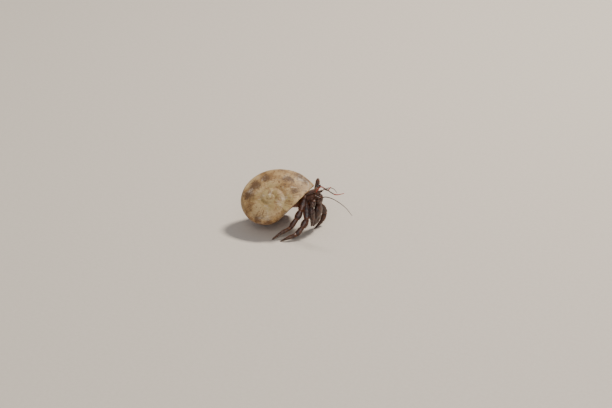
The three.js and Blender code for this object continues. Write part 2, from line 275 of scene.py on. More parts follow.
def wall_profile():
    """The outside of one turn's wall, from under the turn before it, down the spire's flank, round the
    section to its lowest point, and in along the base to the axis. With it come the line's normals,
    turned away from the section's middle."""
    q = np.arange(720) * math.pi / 360
    ring = section_point(q)
    touch = q[np.argmax(np.arctan2(ring[:, 0], -ring[:, 1]))]
    lowest = q[np.argmin(ring[:, 1])]
    outer = q[np.argmax(ring[:, 0])]
    full = 2 * math.pi
    sense = 1 if (outer - touch) % full < (lowest - touch) % full else -1
    sweep = (lowest - touch) % full if sense > 0 else (touch - lowest) % full

    turns = np.linspace(SPIRE_TURNS, 0, 34)[:, None]
    share = np.exp(-full * GROWTH * turns)
    lift = FLANK_BULGE * np.sin(math.pi * np.clip(turns, 0, 1)) - FLANK_TUCK * np.clip(turns - 1, 0, 1)
    r, z = section_point(touch)
    flank = share * np.concatenate([r - lift * z, z + lift * r], 1)
    around = section_point(touch + sense * sweep * np.linspace(0, 1, 62)[1:])
    g = np.linspace(0, 1, 18)[1:]
    r, z = section_point(lowest)
    base = np.stack([np.maximum(r * (1 - g), AXIS_GAP), z * (1 - BASE_DISH * g * g)], -1)
    line = np.concatenate([flank, around, base])
    along = np.gradient(line, axis=0)
    normal = np.stack([along[:, 1], -along[:, 0]], -1)
    normal /= np.linalg.norm(normal, axis=1, keepdims=True)
    middle = np.array([AXIS_DISTANCE * 0.6, -WHORL_DROP * 0.9])
    flip = np.sign(np.sum(normal * (line - middle), 1, keepdims=True))
    normal *= np.median(flip)
    return line, normal


def coil_point(theta, section):
    """The section scaled by exp(growth x angle) and swung clockwise round the shell's axis."""
    size = np.exp(GROWTH * theta)
    out = size * section[..., 0]
    return np.stack([out * np.cos(theta), -out * np.sin(theta), size * section[..., 1]], -1)


def mouth_angle(section, distance):
    """For each section point, the coil angle at which it first reaches the mouth's plane. Near the
    suture the plane isn't reached, and the lip eases off to end at one angle."""
    normal = MOUTH_NORMAL / np.linalg.norm(MOUTH_NORMAL)
    theta = np.linspace(-1.1 * math.pi, 0.75 * math.pi, 1600)[:, None]
    ahead = coil_point(theta, section[None]) @ normal - distance
    first = np.argmax(ahead > 0, axis=0)
    first = np.where((ahead > 0).any(0), np.maximum(first, 1), len(theta) - 1)
    column = np.arange(section.shape[0])
    low, high = ahead[first - 1, column], ahead[first, column]
    step = theta[1, 0] - theta[0, 0]
    reached = theta[first - 1, 0] + step * np.clip(-low / np.maximum(high - low, 1e-9), 0, 1)
    eased = np.exp(-SUTURE_SHARPNESS * reached) + math.exp(-SUTURE_SHARPNESS * SUTURE_END)
    return -np.log(eased) / SUTURE_SHARPNESS


def turning(angles):
    """The matrix that turns about X, then Y, then Z of the turned part, as Euler angles in XYZ order."""
    x, y, z = angles
    cx, sx, cy, sy, cz, sz = (math.cos(x), math.sin(x), math.cos(y), math.sin(y), math.cos(z), math.sin(z))
    turn_x = np.array([[1, 0, 0], [0, cx, -sx], [0, sx, cx]])
    turn_y = np.array([[cy, 0, sy], [0, 1, 0], [-sy, 0, cy]])
    turn_z = np.array([[cz, -sz, 0], [sz, cz, 0], [0, 0, 1]])
    return turn_x @ turn_y @ turn_z


def ripple(points, waves, seed):
    """A smooth uneven value at each point: the mean of some sine waves that run in random directions."""
    random = np.random.default_rng(seed)
    total = np.zeros(points.shape[:-1])
    for length in waves:
        way = random.normal(size=3)
        way /= np.linalg.norm(way)
        total += np.sin(points @ way * (2 * math.pi / length) + random.uniform(0, 6.28))
    return total / len(waves)


def ring_quads(index):
    """The quads between neighbouring rows of point numbers, where each row closes on itself."""
    right = np.roll(index, -1, 1)
    return np.stack([index[:-1], right[:-1], right[1:], index[1:]], -1).reshape(-1, 4).tolist()


def grid_piece(name, points, material, layers, folded=False):
    """A mesh from rows of points in millimetres, each closed on itself. The first row is filled with a
    fan to its middle. So is the last, unless it is folded: its two halves are then one edge. layers are
    the numbers that the mesh keeps at its points."""
    rows, columns = points.shape[:2]
    index = np.arange(rows * columns).reshape(rows, columns)
    kept = rows * columns
    if folded:
        half = columns // 2
        index[-1, half:] = index[-1, :half][::-1]
        kept -= half
    vertices = points.reshape(-1, 3)[:kept]
    faces = [list(dict.fromkeys(quad)) for quad in ring_quads(index)]
    for end, sense in [(0, -1)] if folded else [(0, -1), (-1, 1)]:
        row = index[end, ::sense]
        faces += [(a, b, len(vertices)) for a, b in zip(row.tolist(), np.roll(row, -1).tolist())]
        vertices = np.concatenate([vertices, points[end].mean(0)[None]])
    mesh = bpy.data.meshes.new(name)
    mesh.from_pydata((vertices * MM).tolist(), [], faces)
    for label, values in layers.items():
        flat = np.zeros(len(vertices), np.float32)
        flat[:kept] = np.broadcast_to(values, (rows, columns)).reshape(-1)[:kept]
        mesh.attributes.new(label, "FLOAT", "POINT").data.foreach_set("value", flat)
    mesh.shade_smooth()
    mesh.materials.append(material)
    piece = bpy.data.objects.new(name, mesh)
    scene.collection.objects.link(piece)
    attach(piece, "root")
    return piece


def shell_surface():
    """The wall's outside and inside as one closed loop of section points, swept along the coil from the
    apex to the mouth. The rows are level up to an angle, then lean to meet the mouth's plane, and the
    last ones draw the wall's two faces together into a round lip."""
    line, normal = wall_profile()
    columns = 2 * len(line)

    def loop(thick, apart):
        """The wall's outside and inside, thick from each other, or on one line where apart is 0."""
        outside = line - normal * thick * (1 - apart) / 2
        inside = line - normal * thick * (1 + apart) / 2
        inside[:, 0] = np.maximum(inside[:, 0], AXIS_GAP)
        return np.concatenate([outside, inside[::-1]])

    place = np.stack([np.arange(columns) % len(line)] * 3, -1) * 1.0
    chip = LIP_CHIP * ripple(place, (31, 17, 9), 5)
    chip[len(line):] = chip[: len(line)][::-1]
    ends = mouth_angle(loop(WALL, 1.0), MOUTH_DISTANCE - LIP_ROUND + chip)
    share = np.linspace(0, 1, 320)[:, None] ** 0.65
    level = np.broadcast_to(FIRST_ANGLE + (LEVEL_END - FIRST_ANGLE) * share, (len(share), columns))
    share = np.linspace(0, 1, 70)[1:, None]
    angles = list(np.concatenate([level, LEVEL_END + (ends[None] - LEVEL_END) * share]))
    points = []
    for row in angles:
        thick = WALL * np.exp(GROWTH * np.minimum(row.mean(), 0) * 0.4) / np.exp(GROWTH * row.mean())
        points.append(coil_point(row, loop(min(thick, APEX_WALL), 1.0)))
    for turn in np.linspace(0, math.pi / 2, 7)[1:]:
        section = loop(WALL, math.cos(turn))
        angles.append(mouth_angle(section, MOUTH_DISTANCE - LIP_ROUND * (1 - math.sin(turn)) + chip))
        points.append(coil_point(angles[-1], section))
    outside = np.repeat([1.0, 0.0], len(line))
    across = np.concatenate([np.linspace(0, 1, len(line)), np.linspace(1, 0, len(line))])
    return np.array(points), np.array(angles), outside, across


def shell_lime():
    """Worn shell: tan to cream, with darker spiral bands, brown and green-brown blotches drawn out along
    the growth lines, fine specks, pale patches that are partly real wear and partly a painted
    highlight, fewer low down, and painted shade with painted orange bounced light towards the bottom."""
    paint = Paint("shell_lime", Roughness=0.5, Specular_IOR_Level=0.35)
    where = paint.place()
    coil, across, outside, under = (paint.layer(name) for name in ("coil", "across", "outside", "under"))
    broad = paint.noise(where, 0.13, 3.0, 0.55, 0.5)
    blotch = paint.noise(where, 0.34, 5.0, 0.65, 1.0)
    # Cloud that places the pale patches, which are partly real wear and partly a painted highlight.
    worn = paint.noise(where, 0.24, 6.0, 0.7, 0.4)
    fine = paint.noise(where, 2.4, 5.0, 0.7)
    grit = paint.noise(where, 6.5, 3.0, 0.6)
    spiral = paint.node("CombineXYZ", None, {"X": coil * 0.7, "Y": across * 22.0})
    band = paint.noise(spiral, 1.0, 4.0, 0.6, 0.2)
    growth = paint.node("CombineXYZ", None, {"X": coil * 15.0, "Y": across * 3.5})
    lines = paint.noise(growth, 1.0, 5.0, 0.7, 0.35)

    def patches(places):
        """1 inside the patches and 0 away from them: a step of the distance from a patch's middle over
        its radius, made ragged by the noises, and the largest of these for all the patches."""
        total = None
        for place, radius in places:
            away = paint.node("VectorMath", {"operation": "DISTANCE"}, {0: where, 1: place}, out=1)
            one = paint.step(away / radius + (blotch - 0.5) * 3.4 + (fine - 0.5) * 1.4, 1.2, 0.4)
            total = one if total is None else total.math("MAXIMUM", one)
        return total

    tint = paint.ramp(broad, (0.36, HONEY), (0.5, TAN), (0.64, CREAM))
    brown = paint.step(blotch * 0.62 + lines * 0.38, 0.505, 0.58)
    dots = paint.node("TexVoronoi", {"feature": "F1"}, {"Vector": where, "Scale": 0.62, "Randomness": 1.0})
    near_lip = paint.step(coil, -0.9, -0.2) * paint.step(across, 0.62, 0.4)
    speckle = paint.step(dots + (fine - 0.5) * 1.1 + (blotch - 0.5) * 0.7, 0.33, 0.17) * near_lip
    # Pale patches, partly real wear and partly a painted highlight, fewer on the lower part.
    wear_and_highlight = paint.step(worn * 0.72 + grit * 0.28, 0.54, 0.63) * (1.0 - under * 0.7)
    for share, colour in (
        (paint.step(band, 0.5, 0.64) * 0.5, BAND_BROWN),
        (patches(GREEN_PATCHES) * 0.45, ALGAE_GREEN),
        (brown * 0.72, BLOTCH_BROWN),
        (patches(DARK_STAINS) * 0.84, STAIN_BROWN),
        (paint.step(lines, 0.58, 0.72) * 0.45, LINE_BROWN),
        (paint.step(fine, 0.57, 0.66) * 0.55, SPECK_BROWN),
        (speckle * 0.8, DOT_BLACK),
        # Painted shade with painted orange bounced light, stronger towards the bottom.
        (under * 0.85, PAINTED_SHADE_AND_BOUNCE),
        # Pale patches: partly real wear, partly a painted highlight.
        (wear_and_highlight * 0.5, WORN_LIME_AND_HIGHLIGHT),
        (paint.step(grit, 0.64, 0.72) * 0.5, CHALK),
    ):
        tint = paint.blend(share, tint, colour)
    inner = paint.ramp(broad, (0.3, INNER_DARK), (0.7, INNER_PALE))
    tint = paint.blend(outside, inner, tint)
    rough = paint.step(fine, 0.25, 0.75) * 0.25 + 0.36
    height = lines * 0.5 + fine * 0.5 + grit * 0.25 + band * 0.4 - wear_and_highlight * 0.15
    return paint.finish(Base_Color=tint, Roughness=rough, Normal=paint.bump(height, 0.00022, 0.8))


def make_shell():
    """The wall, worn uneven by a ripple in and out from the apex and turned to lie on the floor, whose
    plane cuts the low ridge flat. Each row is taken backwards, so that the wall faces outwards."""
    points, angles, outside, across = shell_surface()
    wear = ripple(points, (7.3, 5.1, 9.7, 3.9), 11) * WEAR * np.clip(np.exp(GROWTH * angles), 0, 1)
    apex_out = points / np.maximum(np.linalg.norm(points, axis=-1, keepdims=True), 1e-6)
    points = points + apex_out * wear[..., None]
    placed = points @ turning(SHELL_TURN).T + APEX - CENTRE
    # How low each point of the shell lies, 0 high up and 1 near the floor: the share of painted shade and
    # bounced light.
    under = np.clip((PAINTED_SHADE_TOP - placed[..., 2]) / PAINTED_SHADE_FADE, 0, 1)
    placed[..., 2] = np.maximum(placed[..., 2], 0.0)
    layers = {"coil": angles, "across": across, "outside": outside, "under": under}
    layers = {label: values[..., ::-1] for label, values in layers.items()}
    piece = grid_piece("snail_shell", placed[:, ::-1], shell_lime(), layers, folded=True)
    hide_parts("shell")


make_shell()

# ---------- The walking legs ----------
# Two pairs of jointed legs in hard, pimpled plates of chitin, dark red-brown with paler rims. Each
# plate has a narrow neck that turns in the dished end of the one before it, and the last plate is a
# long curved claw.
# Each plate's half widths and half thicknesses from base to end, its rows of points and its pimples.
LEG_PLATES = {
    "merus": ([1.15, 1.75, 1.45], [0.85, 1.0, 0.9], 96, 260),
    "carpus": ([1.0, 1.45, 1.3], [0.8, 0.95, 0.9], 76, 170),
    "propodus": ([0.95, 1.1, 0.95], [0.75, 0.85, 0.7], 76, 180),
    "dactyl": ([0.8, 0.8, 0.5, 0.28], [0.62, 0.6, 0.42, 0.26], 96, 190),
}
# The joints from hip to tip, and how far the last plate bows.
LEGS = {
    "leg_2_right": (
        [(9.4, 2.6, 14.2), (11.31, -1.35, 8.4), (10.36, -4.0, 5.2), (8.53, -6.84, 2.4), (2.8, -11.22, 0.02)],
        (0.5, -0.9, 0.9),
    ),
    "leg_3_right": (
        [(8.0, 3.4, 16.0), (7.86, -0.2, 11.35), (6.7, -2.39, 7.9), (4.95, -5.41, 4.24), (-1.2, -11.1, 0.02)],
        (0.3, -0.9, 1.2),
    ),
    "leg_2_left": (
        [(11.2, 7.9, 15.9), (11.0, 10.7, 22.2), (9.9, 12.2, 17.6), (9.2, 12.6, 12.6), (9.0, 11.4, 5.4)],
        (0.3, 0.7, 0.2),
    ),
    "leg_3_left": (
        [
            (9.6, 7.6, 13.6), (12.48, 9.68, 11.2), (13.72, 12.46, 6.2), (12.66, 11.42, 2.3),
            (11.12, 6.91, 0.02),
        ],
        (0.3, 0.9, 0.5),
    ),
}
STRAIGHT = (0.0, 0.0, 0.0)
# How wide a plate is along its length: pairs of place (0 base, 1 end) and share of its full width.
JOINTED = [
    (-0.08, 0.02), (-0.08, 0.6), (-0.05, 0.82), (0.0, 0.96), (0.05, 1.05), (0.12, 1.09), (0.22, 1.08),
    (0.4, 1.05), (0.7, 1.04), (0.84, 1.0), (0.9, 0.99), (0.95, 1.0), (0.985, 0.96), (0.99, 0.9),
    (0.965, 0.82), (0.92, 0.7), (0.88, 0.4), (0.86, 0.02),
]
CLAWED = [
    (-0.05, 0.02), (-0.05, 0.6), (-0.02, 0.84), (0.03, 0.99), (0.08, 1.05), (0.16, 1.06), (0.3, 1.04),
    (0.6, 1.0), (0.8, 0.95), (0.9, 0.85), (0.96, 0.66), (0.99, 0.4), (1.0, 0.02),
]


def unit(vectors):
    """Each vector divided by its own length."""
    return vectors / np.maximum(np.linalg.norm(vectors, axis=-1, keepdims=True), 1e-9)


def smooth_run(values, t):
    """The value at each t, 0 to 1, of a smoothstep run through evenly spaced numbers."""
    values = np.asarray(values, float)
    x = np.clip(t, 0, 1) * (len(values) - 1)
    i = np.minimum(x.astype(int), len(values) - 2)
    f = x - i
    s = f * f * (3 - 2 * f)
    return values[i] * (1 - s) + values[i + 1] * s


def even_line(table, count):
    """A table's broken line redrawn as count points with rounded corners. They are spread evenly along
    it, where a step along the plate counts three times as much as one in width."""
    table = np.asarray(table, float)
    length = np.concatenate([[0], np.cumsum(np.linalg.norm(np.diff(table, axis=0) * (3.0, 1.0), axis=1))])
    where = np.linspace(0, length[-1], count)
    line = np.stack([np.interp(where, length, column) for column in table.T], -1)
    for _ in range(3):
        line[1:-1] = line[1:-1] * 0.5 + line[:-2] * 0.25 + line[2:] * 0.25
    return line


def surface_normals(points):
    """The outward normals of a grid of points whose rows close on themselves."""
    round_way = np.roll(points, -1, 1) - np.roll(points, 1, 1)
    long_way = np.gradient(points, axis=0)
    return unit(np.cross(round_way, long_way))


def square_to(axis, way):
    """At each axis, the direction square to it that is nearest to way."""
    way = np.asarray(way, float)
    return unit(way - axis * (axis @ way)[:, None])


def ovals(centre, axis, side, flat, deep):
    """Rings round a line: at each turn, flat away along the side and deep away square to side and axis."""
    face = np.cross(side, axis)
    return centre[:, None] - side[:, None] * flat[..., None] + face[:, None] * deep[..., None]


def marked(points, t, back):
    """A surface's points, with each one's place along it and how far it lies towards the back."""
    return points, np.broadcast_to(t[:, None], points.shape[:2]), np.broadcast_to(back, points.shape[:2])


def plate_surface(start, end, bow, broad, wide, thin, profile, rows, columns):
    """An oval section swept along a quadratic curve. Its half width and half thickness run smoothly
    through the given values, times the profile's share. The back (turn 0) is drawn to a blunt keel."""
    start, end, bow = (np.asarray(value, float) for value in (start, end, bow))
    line = even_line(profile, rows)
    t, share = line[:, 0], line[:, 1]
    control = (start + end) / 2 + bow
    centre = (1 - t)[:, None] ** 2 * start + (2 * t * (1 - t))[:, None] * control + (t * t)[:, None] * end
    axis = unit(2 * (1 - t)[:, None] * (control - start) + 2 * t[:, None] * (end - control))
    turn = np.linspace(0, 2 * math.pi, columns, endpoint=False)
    flat = (share * smooth_run(wide, t))[:, None] * np.cos(turn)
    keel = 1 - 0.16 * np.clip(np.cos(turn), 0, 1) ** 2
    deep = (share * smooth_run(thin, t))[:, None] * np.sin(turn) * keel
    return marked(ovals(centre, axis, square_to(axis, broad), flat, deep), t, np.cos(turn))


def pimples(points, t, back, count, size, height, seed):
    """How far each point is lifted by rounded pimples: the tallest, at that point, of bell-shaped bumps
    that are scattered over the plate, thickest along its back, and stay off its neck and its rim."""
    random = np.random.default_rng(seed)
    flat = points.reshape(-1, 3)
    clear = np.clip((t - 0.16) * 8, 0, 1) * np.clip((0.93 - t) * 12, 0, 1)
    weight = clear * (0.45 + 0.55 * np.clip(back + 0.3, 0, 1))
    area = np.linalg.norm(points - np.roll(points, 1, 1), axis=-1)
    odds = (weight * area).reshape(-1)
    chosen = random.choice(len(flat), size=count, p=odds / odds.sum())
    across = size * random.uniform(0.6, 1.35, count)
    on_back = np.clip(back.reshape(-1)[chosen] + 0.4, 0, 1.2)
    tall = height * random.uniform(0.5, 1.2, count) * (0.55 + 0.45 * on_back)
    lift = np.zeros(len(flat))
    for place, wide, up in zip(flat[chosen], across, tall):
        away = np.sum((flat - place) ** 2, 1) / wide**2
        lift = np.maximum(lift, up * np.exp(-away))
    return lift.reshape(points.shape[:2])


def chitin(name, deep, main, warm, pale, roughness=0.3):
    """Glossy chitin: deep and main tones in cloudy mottling, warm towards each plate's ends and under
    side, pale on the pimples' tips, with fine pits."""
    paint = Paint(name, Roughness=roughness, Specular_IOR_Level=0.4, Coat_Weight=0.22, Coat_Roughness=0.14)
    where = paint.place()
    lift, along, back = (paint.layer(name) for name in ("pimple", "along", "back"))
    cloud = paint.noise(where, 0.75, 4.0, 0.6, 0.5)
    grain = paint.noise(where, 5.5, 3.0, 0.6)
    tint = paint.blend(paint.step(cloud, 0.36, 0.62), deep, main)
    patch = paint.step(paint.noise(where, 0.42, 3.0, 0.55), 0.5, 0.66)
    tint = paint.blend(patch * 0.4, tint, warm)
    ends = paint.step(along, 0.16, 0.02) + paint.step(along, 0.9, 0.97)
    tint = paint.blend(ends * 0.6, tint, warm)
    tint = paint.blend(paint.step(back, -0.35, -0.95) * 0.4, tint, warm)
    tint = paint.blend(paint.step(lift, 0.35, 1.0) * 0.75, tint, pale)
    tint = paint.blend(paint.step(grain, 0.6, 0.75) * 0.25, tint, pale)
    rough = grain * 0.22 + (roughness - 0.09)
    bump = paint.bump(grain * 0.6 + cloud * 0.4, 0.00006, 0.7)
    return paint.finish(Base_Color=tint, Roughness=rough, Normal=bump)


def plate_piece(name, surface, material, count, size, height, seed, soft=0.05):
    """A finished plate: the surface with its pimples and a slight unevenness, on the floor or above it."""
    points, t, back = surface
    lift = pimples(points, t, back, count, size, height, seed)
    uneven = ripple(points, (1.7, 2.6, 3.9), seed + 1) * soft
    placed = points + surface_normals(points) * (lift + uneven)[..., None] - CENTRE
    placed[..., 2] = np.maximum(placed[..., 2], 0.0)
    layers = {"pimple": lift / height, "along": t, "back": back}
    piece = grid_piece(name, placed, material, layers)
    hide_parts(name)


leg_chitin = chitin(
    "leg_chitin", (0.013, 0.004, 0.0025), (0.048, 0.0135, 0.006), (0.17, 0.050, 0.013), (0.20, 0.095, 0.062),
)
nail_chitin = chitin(
    "nail_chitin", (0.022, 0.008, 0.005), (0.075, 0.030, 0.013), (0.17, 0.064, 0.023), (0.25, 0.14, 0.09),
)
bristle_rows = []
for leg, (joints, dactyl_bow) in LEGS.items():
    joints = np.array(joints)
    bend = unit(np.cross(joints[1] - joints[0], joints[4] - joints[1]))
    for number, (kind, (wide, thin, rows, many)) in enumerate(LEG_PLATES.items()):
        first, last = joints[number], joints[number + 1]
        broad = np.cross(bend, last - first)
        seed = 100 + 10 * list(LEGS).index(leg) + number
        if kind == "dactyl":
            surface = plate_surface(first, last, dactyl_bow, broad, wide, thin, CLAWED, rows, 72)
            plate_piece(f"{leg}_{kind}", surface, nail_chitin, many, 0.11, 0.05, seed)
            bristle_rows.append((surface, seed, 90, 0.42))
        else:
            surface = plate_surface(first, last, STRAIGHT, broad, wide, thin, JOINTED, rows, 72)
            plate_piece(f"{leg}_{kind}", surface, leg_chitin, many, 0.135, 0.09, seed)
            bristle_rows.append((surface, seed, 60, 0.55))

# ---------- The claws ----------
# The left claw is the larger, and both hang before the mouth. A palm and its fixed finger are one hard
# piece, and the other finger is hinged to it. They are nearly black, pimpled, with toothed edges.
ACROSS = (0.0, 1.0, 0.0)
DOWN = (0.0, 0.0, -1.0)
# Palm and fixed finger: the middle of each section with its half width and half thickness.
LEFT_PALM = [
    (13.20, 6.40, 13.35, 0.05, 0.05), (13.20, 6.40, 13.30, 0.75, 0.60), (13.21, 6.40, 12.95, 1.05, 0.85),
    (13.24, 6.36, 12.40, 1.60, 1.10), (13.28, 6.28, 11.50, 2.25, 1.40), (13.25, 6.20, 10.20, 2.70, 1.62),
    (13.12, 6.15, 8.90, 2.62, 1.58), (13.00, 6.28, 8.00, 2.25, 1.42), (12.92, 6.62, 7.20, 1.72, 1.24),
    (12.85, 6.88, 6.40, 1.32, 1.12), (12.62, 6.85, 5.30, 1.12, 1.02), (12.20, 6.45, 4.10, 0.85, 0.80),
    (11.72, 5.90, 3.10, 0.55, 0.52), (11.38, 5.50, 2.50, 0.32, 0.30), (11.20, 5.30, 2.22, 0.03, 0.03),
]
RIGHT_PALM = [
    (12.00, 1.90, 13.25, 0.05, 0.05), (12.00, 1.90, 13.20, 0.50, 0.45), (12.02, 1.88, 12.90, 0.70, 0.60),
    (12.10, 1.82, 12.30, 1.05, 0.82), (12.28, 1.70, 11.30, 1.45, 1.05), (12.42, 1.60, 10.20, 1.62, 1.18),
    (12.48, 1.52, 9.30, 1.52, 1.15), (12.55, 1.35, 8.40, 1.25, 1.02), (12.62, 1.12, 7.60, 0.98, 0.90),
    (12.70, 0.98, 6.80, 0.80, 0.76), (12.68, 0.98, 5.90, 0.70, 0.66), (12.48, 1.15, 5.00, 0.50, 0.48),
    (12.22, 1.35, 4.20, 0.30, 0.30), (12.02, 1.50, 3.72, 0.03, 0.03),
]


def curve_through(table, count):
    """A smooth curve through a table's points: between two of them a cubic whose slopes at the points
    are those of the parabolas through their neighbours, timed by the square root of each gap."""
    table = np.asarray(table, float)
    padded = np.concatenate([[2 * table[0] - table[1]], table, [2 * table[-1] - table[-2]]])
    gap = np.maximum(np.linalg.norm(np.diff(padded[:, :3], axis=0), axis=1) ** 0.5, 1e-4)[:, None]
    where = np.linspace(0, len(table) - 1, count)
    i = np.minimum(where.astype(int), len(table) - 2)
    f = (where - i)[:, None]
    a, b, c, d = padded[i], padded[i + 1], padded[i + 2], padded[i + 3]
    g0, g1, g2 = gap[i], gap[i + 1], gap[i + 2]
    leave = ((b - a) / g0 - (c - a) / (g0 + g1) + (c - b) / g1) * g1
    reach = ((c - b) / g1 - (d - b) / (g1 + g2) + (d - c) / g2) * g1
    return (
        b + leave * f + (3 * (c - b) - 2 * leave - reach) * f**2 + (2 * (b - c) + leave + reach) * f**3
    )


def palm_surface(table, rows, columns, inner):
    """Ovals set on a curve, level and broad across the crab. Their edge on the inner side, towards the
    hinged finger, is flatter, and so is their hind face."""
    line = curve_through(table, rows)
    centre, wide, thin = line[:, :3], np.maximum(line[:, 3], 0.02), np.maximum(line[:, 4], 0.02)
    axis = unit(np.gradient(centre, axis=0))
    turn = np.linspace(0, 2 * math.pi, columns, endpoint=False)
    flat = wide[:, None] * np.sign(np.cos(turn)) * np.abs(np.cos(turn)) ** 0.9
    deep = thin[:, None] * np.sign(np.sin(turn)) * np.abs(np.sin(turn)) ** 0.92
    points = ovals(centre, axis, square_to(axis, (0, inner, 0)), flat, deep)
    return marked(points, np.linspace(0, 1, rows), 0.55 + 0.45 * np.cos(turn))


def toothed(surface, first, last, size, height, seed):
    """The surface with a row of blunt teeth along its biting edge, at turn pi, between two places: each
    is a bell-shaped bump, and the tallest at a point lifts it."""
    points, t, back = surface
    random = np.random.default_rng(seed)
    normal = surface_normals(points)
    edge = points.shape[1] // 2
    lift = np.zeros(points.shape[:2])
    for place in np.linspace(first, last, 7):
        row = np.argmin(np.abs(t[:, 0] - place))
        away = np.sum((points - points[row, edge]) ** 2, -1) / (size * random.uniform(0.8, 1.2)) ** 2
        lift = np.maximum(lift, height * random.uniform(0.6, 1.1) * np.exp(-away))
    return points + normal * lift[..., None], t, back


claw_chitin = chitin(
    "claw_chitin", (0.013, 0.0048, 0.0035), (0.042, 0.014, 0.008), (0.13, 0.044, 0.016), (0.22, 0.13, 0.10),
)
PINCHED = [
    (0.0, 0.02), (0.0, 0.4), (0.015, 0.58), (0.05, 0.72), (0.1, 0.86), (0.2, 0.98), (0.35, 1.0),
    (0.65, 0.98), (0.82, 0.92), (0.92, 0.78), (0.97, 0.55), (1.0, 0.02),
]
claw_parts = {
    "claw_left_palm": palm_surface(LEFT_PALM, 150, 128, -1),
    "claw_left_finger": plate_surface(
        (12.7, 4.3, 8.2), (11.5, 4.5, 2.5), (0.9, -0.9, 0), ACROSS,
        [1.1, 1.1, 0.4], [1.1, 1.0, 0.35], PINCHED, 110, 88,
    ),
    "claw_left_carpus": plate_surface(
        (13.9, 7.2, 16.6), (13.3, 6.5, 13.0), STRAIGHT, ACROSS,
        [1.3, 1.75, 1.5], [1.1, 1.4, 1.2], JOINTED, 90, 96,
    ),
    "claw_left_merus": plate_surface(
        (11.4, 6.6, 15.0), (14.0, 7.1, 16.8), STRAIGHT, DOWN,
        [1.3, 1.5, 1.2], [1.1, 1.3, 1.1], JOINTED, 76, 84,
    ),
    "claw_right_palm": palm_surface(RIGHT_PALM, 140, 104, 1),
    "claw_right_finger": plate_surface(
        (12.5, 2.4, 8.6), (12.0, 2.1, 4.0), (0.5, 0.6, 0), (0, -1, 0),
        [0.75, 0.7, 0.35], [0.8, 0.75, 0.33], PINCHED, 96, 72,
    ),
    "claw_right_carpus": plate_surface(
        (12.9, 2.6, 15.9), (12.1, 2.0, 12.9), STRAIGHT, ACROSS,
        [0.9, 1.25, 1.1], [0.8, 1.05, 0.9], JOINTED, 84, 80,
    ),
    "claw_right_merus": plate_surface(
        (11.0, 4.2, 14.9), (12.9, 2.8, 16.0), STRAIGHT, DOWN,
        [1.0, 1.2, 0.9], [0.9, 1.0, 0.8], JOINTED, 70, 72,
    ),
}
PIMPLES = {"claw_left_palm": 620, "claw_right_palm": 340}
for number, (name, surface) in enumerate(claw_parts.items()):
    tooth = (0.34, 0.2) if "left" in name else (0.24, 0.13)
    if name.endswith("palm"):
        surface = toothed(surface, 0.62, 0.93, *tooth, 300 + number)
    elif name.endswith("finger"):
        surface = toothed(surface, 0.34, 0.9, *tooth, 300 + number)
    seed = 200 + number
    plate_piece(name, surface, claw_chitin, PIMPLES.get(name, 220), 0.17, 0.12, seed)
    bristle_rows.append((surface, seed, 100, 0.45))

# ---------- The shield and the head ----------
# A hard shield covers the front of the back, crossed by a groove. Before it stand two eyes on flat
# stalks, glossy black over cream stalks striped with brown, and under it the pimpled feeler bases and
# the jointed, bristled mouth limbs. All of them grow from the soft body at the shield's front edge.
SHIELD = ((12.9, 5.5, 19.5), (5.6, 6.5, 14.9), (0, 0, 0.7))
GROOVE_DEPTH = 0.16
MIDDLE_DEPTH = 0.05
OVAL = [(0.0, 0.02), (0.0, 0.45), (0.02, 0.66), (0.08, 0.84), (0.2, 0.96), (0.4, 1.0), (0.7, 1.0),
        (0.88, 0.9), (0.96, 0.72), (1.0, 0.45), (1.0, 0.02)]
EYES = {
    "right": ((12.2, 4.95, 19.4), (13.5, 4.6, 21.9)),
    "left": ((12.2, 6.2, 19.4), (13.65, 6.4, 21.6)),
}
SEGMENTED = [(0.0, 0.02), (0.0, 0.4), (0.03, 0.7), (0.12, 0.95), (0.3, 1.0), (0.37, 0.78), (0.43, 0.95),
             (0.62, 0.95), (0.69, 0.72), (0.76, 0.88), (0.92, 0.8), (1.0, 0.45), (1.0, 0.02)]
head_chitin = chitin(
    "head_chitin", (0.022, 0.009, 0.006), (0.070, 0.026, 0.015), (0.17, 0.068, 0.030), (0.30, 0.19, 0.14),
)


def make_shield():
    """A plate with two bell-shaped troughs: the groove, along a curve bowed back at the middle, and a
    fainter one down the middle of the hind half."""
    points, t, back = plate_surface(*SHIELD, ACROSS, [2.0, 2.6, 2.9], [0.7, 0.95, 0.9], OVAL, 120, 120)
    normal = surface_normals(points)
    groove = np.exp(-(((t - 0.52 + 0.10 * back**2) / 0.022) ** 2)) * GROOVE_DEPTH
    middle = np.exp(-((back / 0.07) ** 2)) * MIDDLE_DEPTH * (t > 0.5)
    points = points - normal * (groove + middle)[..., None]
    return points, t, 0 * back + 0.9


plate_piece("carapace", make_shield(), head_chitin, 300, 0.15, 0.05, 400, 0.07)
HIND = (-1.0, 0.0, 0.0)
head_parts = {
    "mouth_limb_right": ((12.4, 4.7, 16.6), (12.5, 4.0, 13.2), HIND, [0.5, 0.6, 0.4], [0.4, 0.5, 0.35]),
    "mouth_limb_left": ((12.6, 5.5, 16.6), (12.4, 4.95, 14.0), HIND, [0.4, 0.42, 0.35], [0.35, 0.4, 0.32]),
    "antenna_base_right": ((12.5, 4.0, 17.7), (15.2, 3.7, 16.9), DOWN, [0.6, 0.6, 0.45], [0.55, 0.55, 0.4]),
    "antenna_base_left": ((12.6, 7.2, 17.9), (14.3, 8.2, 18.7), DOWN, [0.6, 0.6, 0.45], [0.55, 0.55, 0.4]),
}
for number, (name, (first, last, broad, wide, thin)) in enumerate(head_parts.items()):
    surface = plate_surface(first, last, STRAIGHT, broad, wide, thin, SEGMENTED, 84, 48)
    plate_piece(name, surface, head_chitin, 60, 0.09, 0.04, 410 + number, 0.02)
    bristle_rows.append((surface, 410 + number, 60, 0.55))


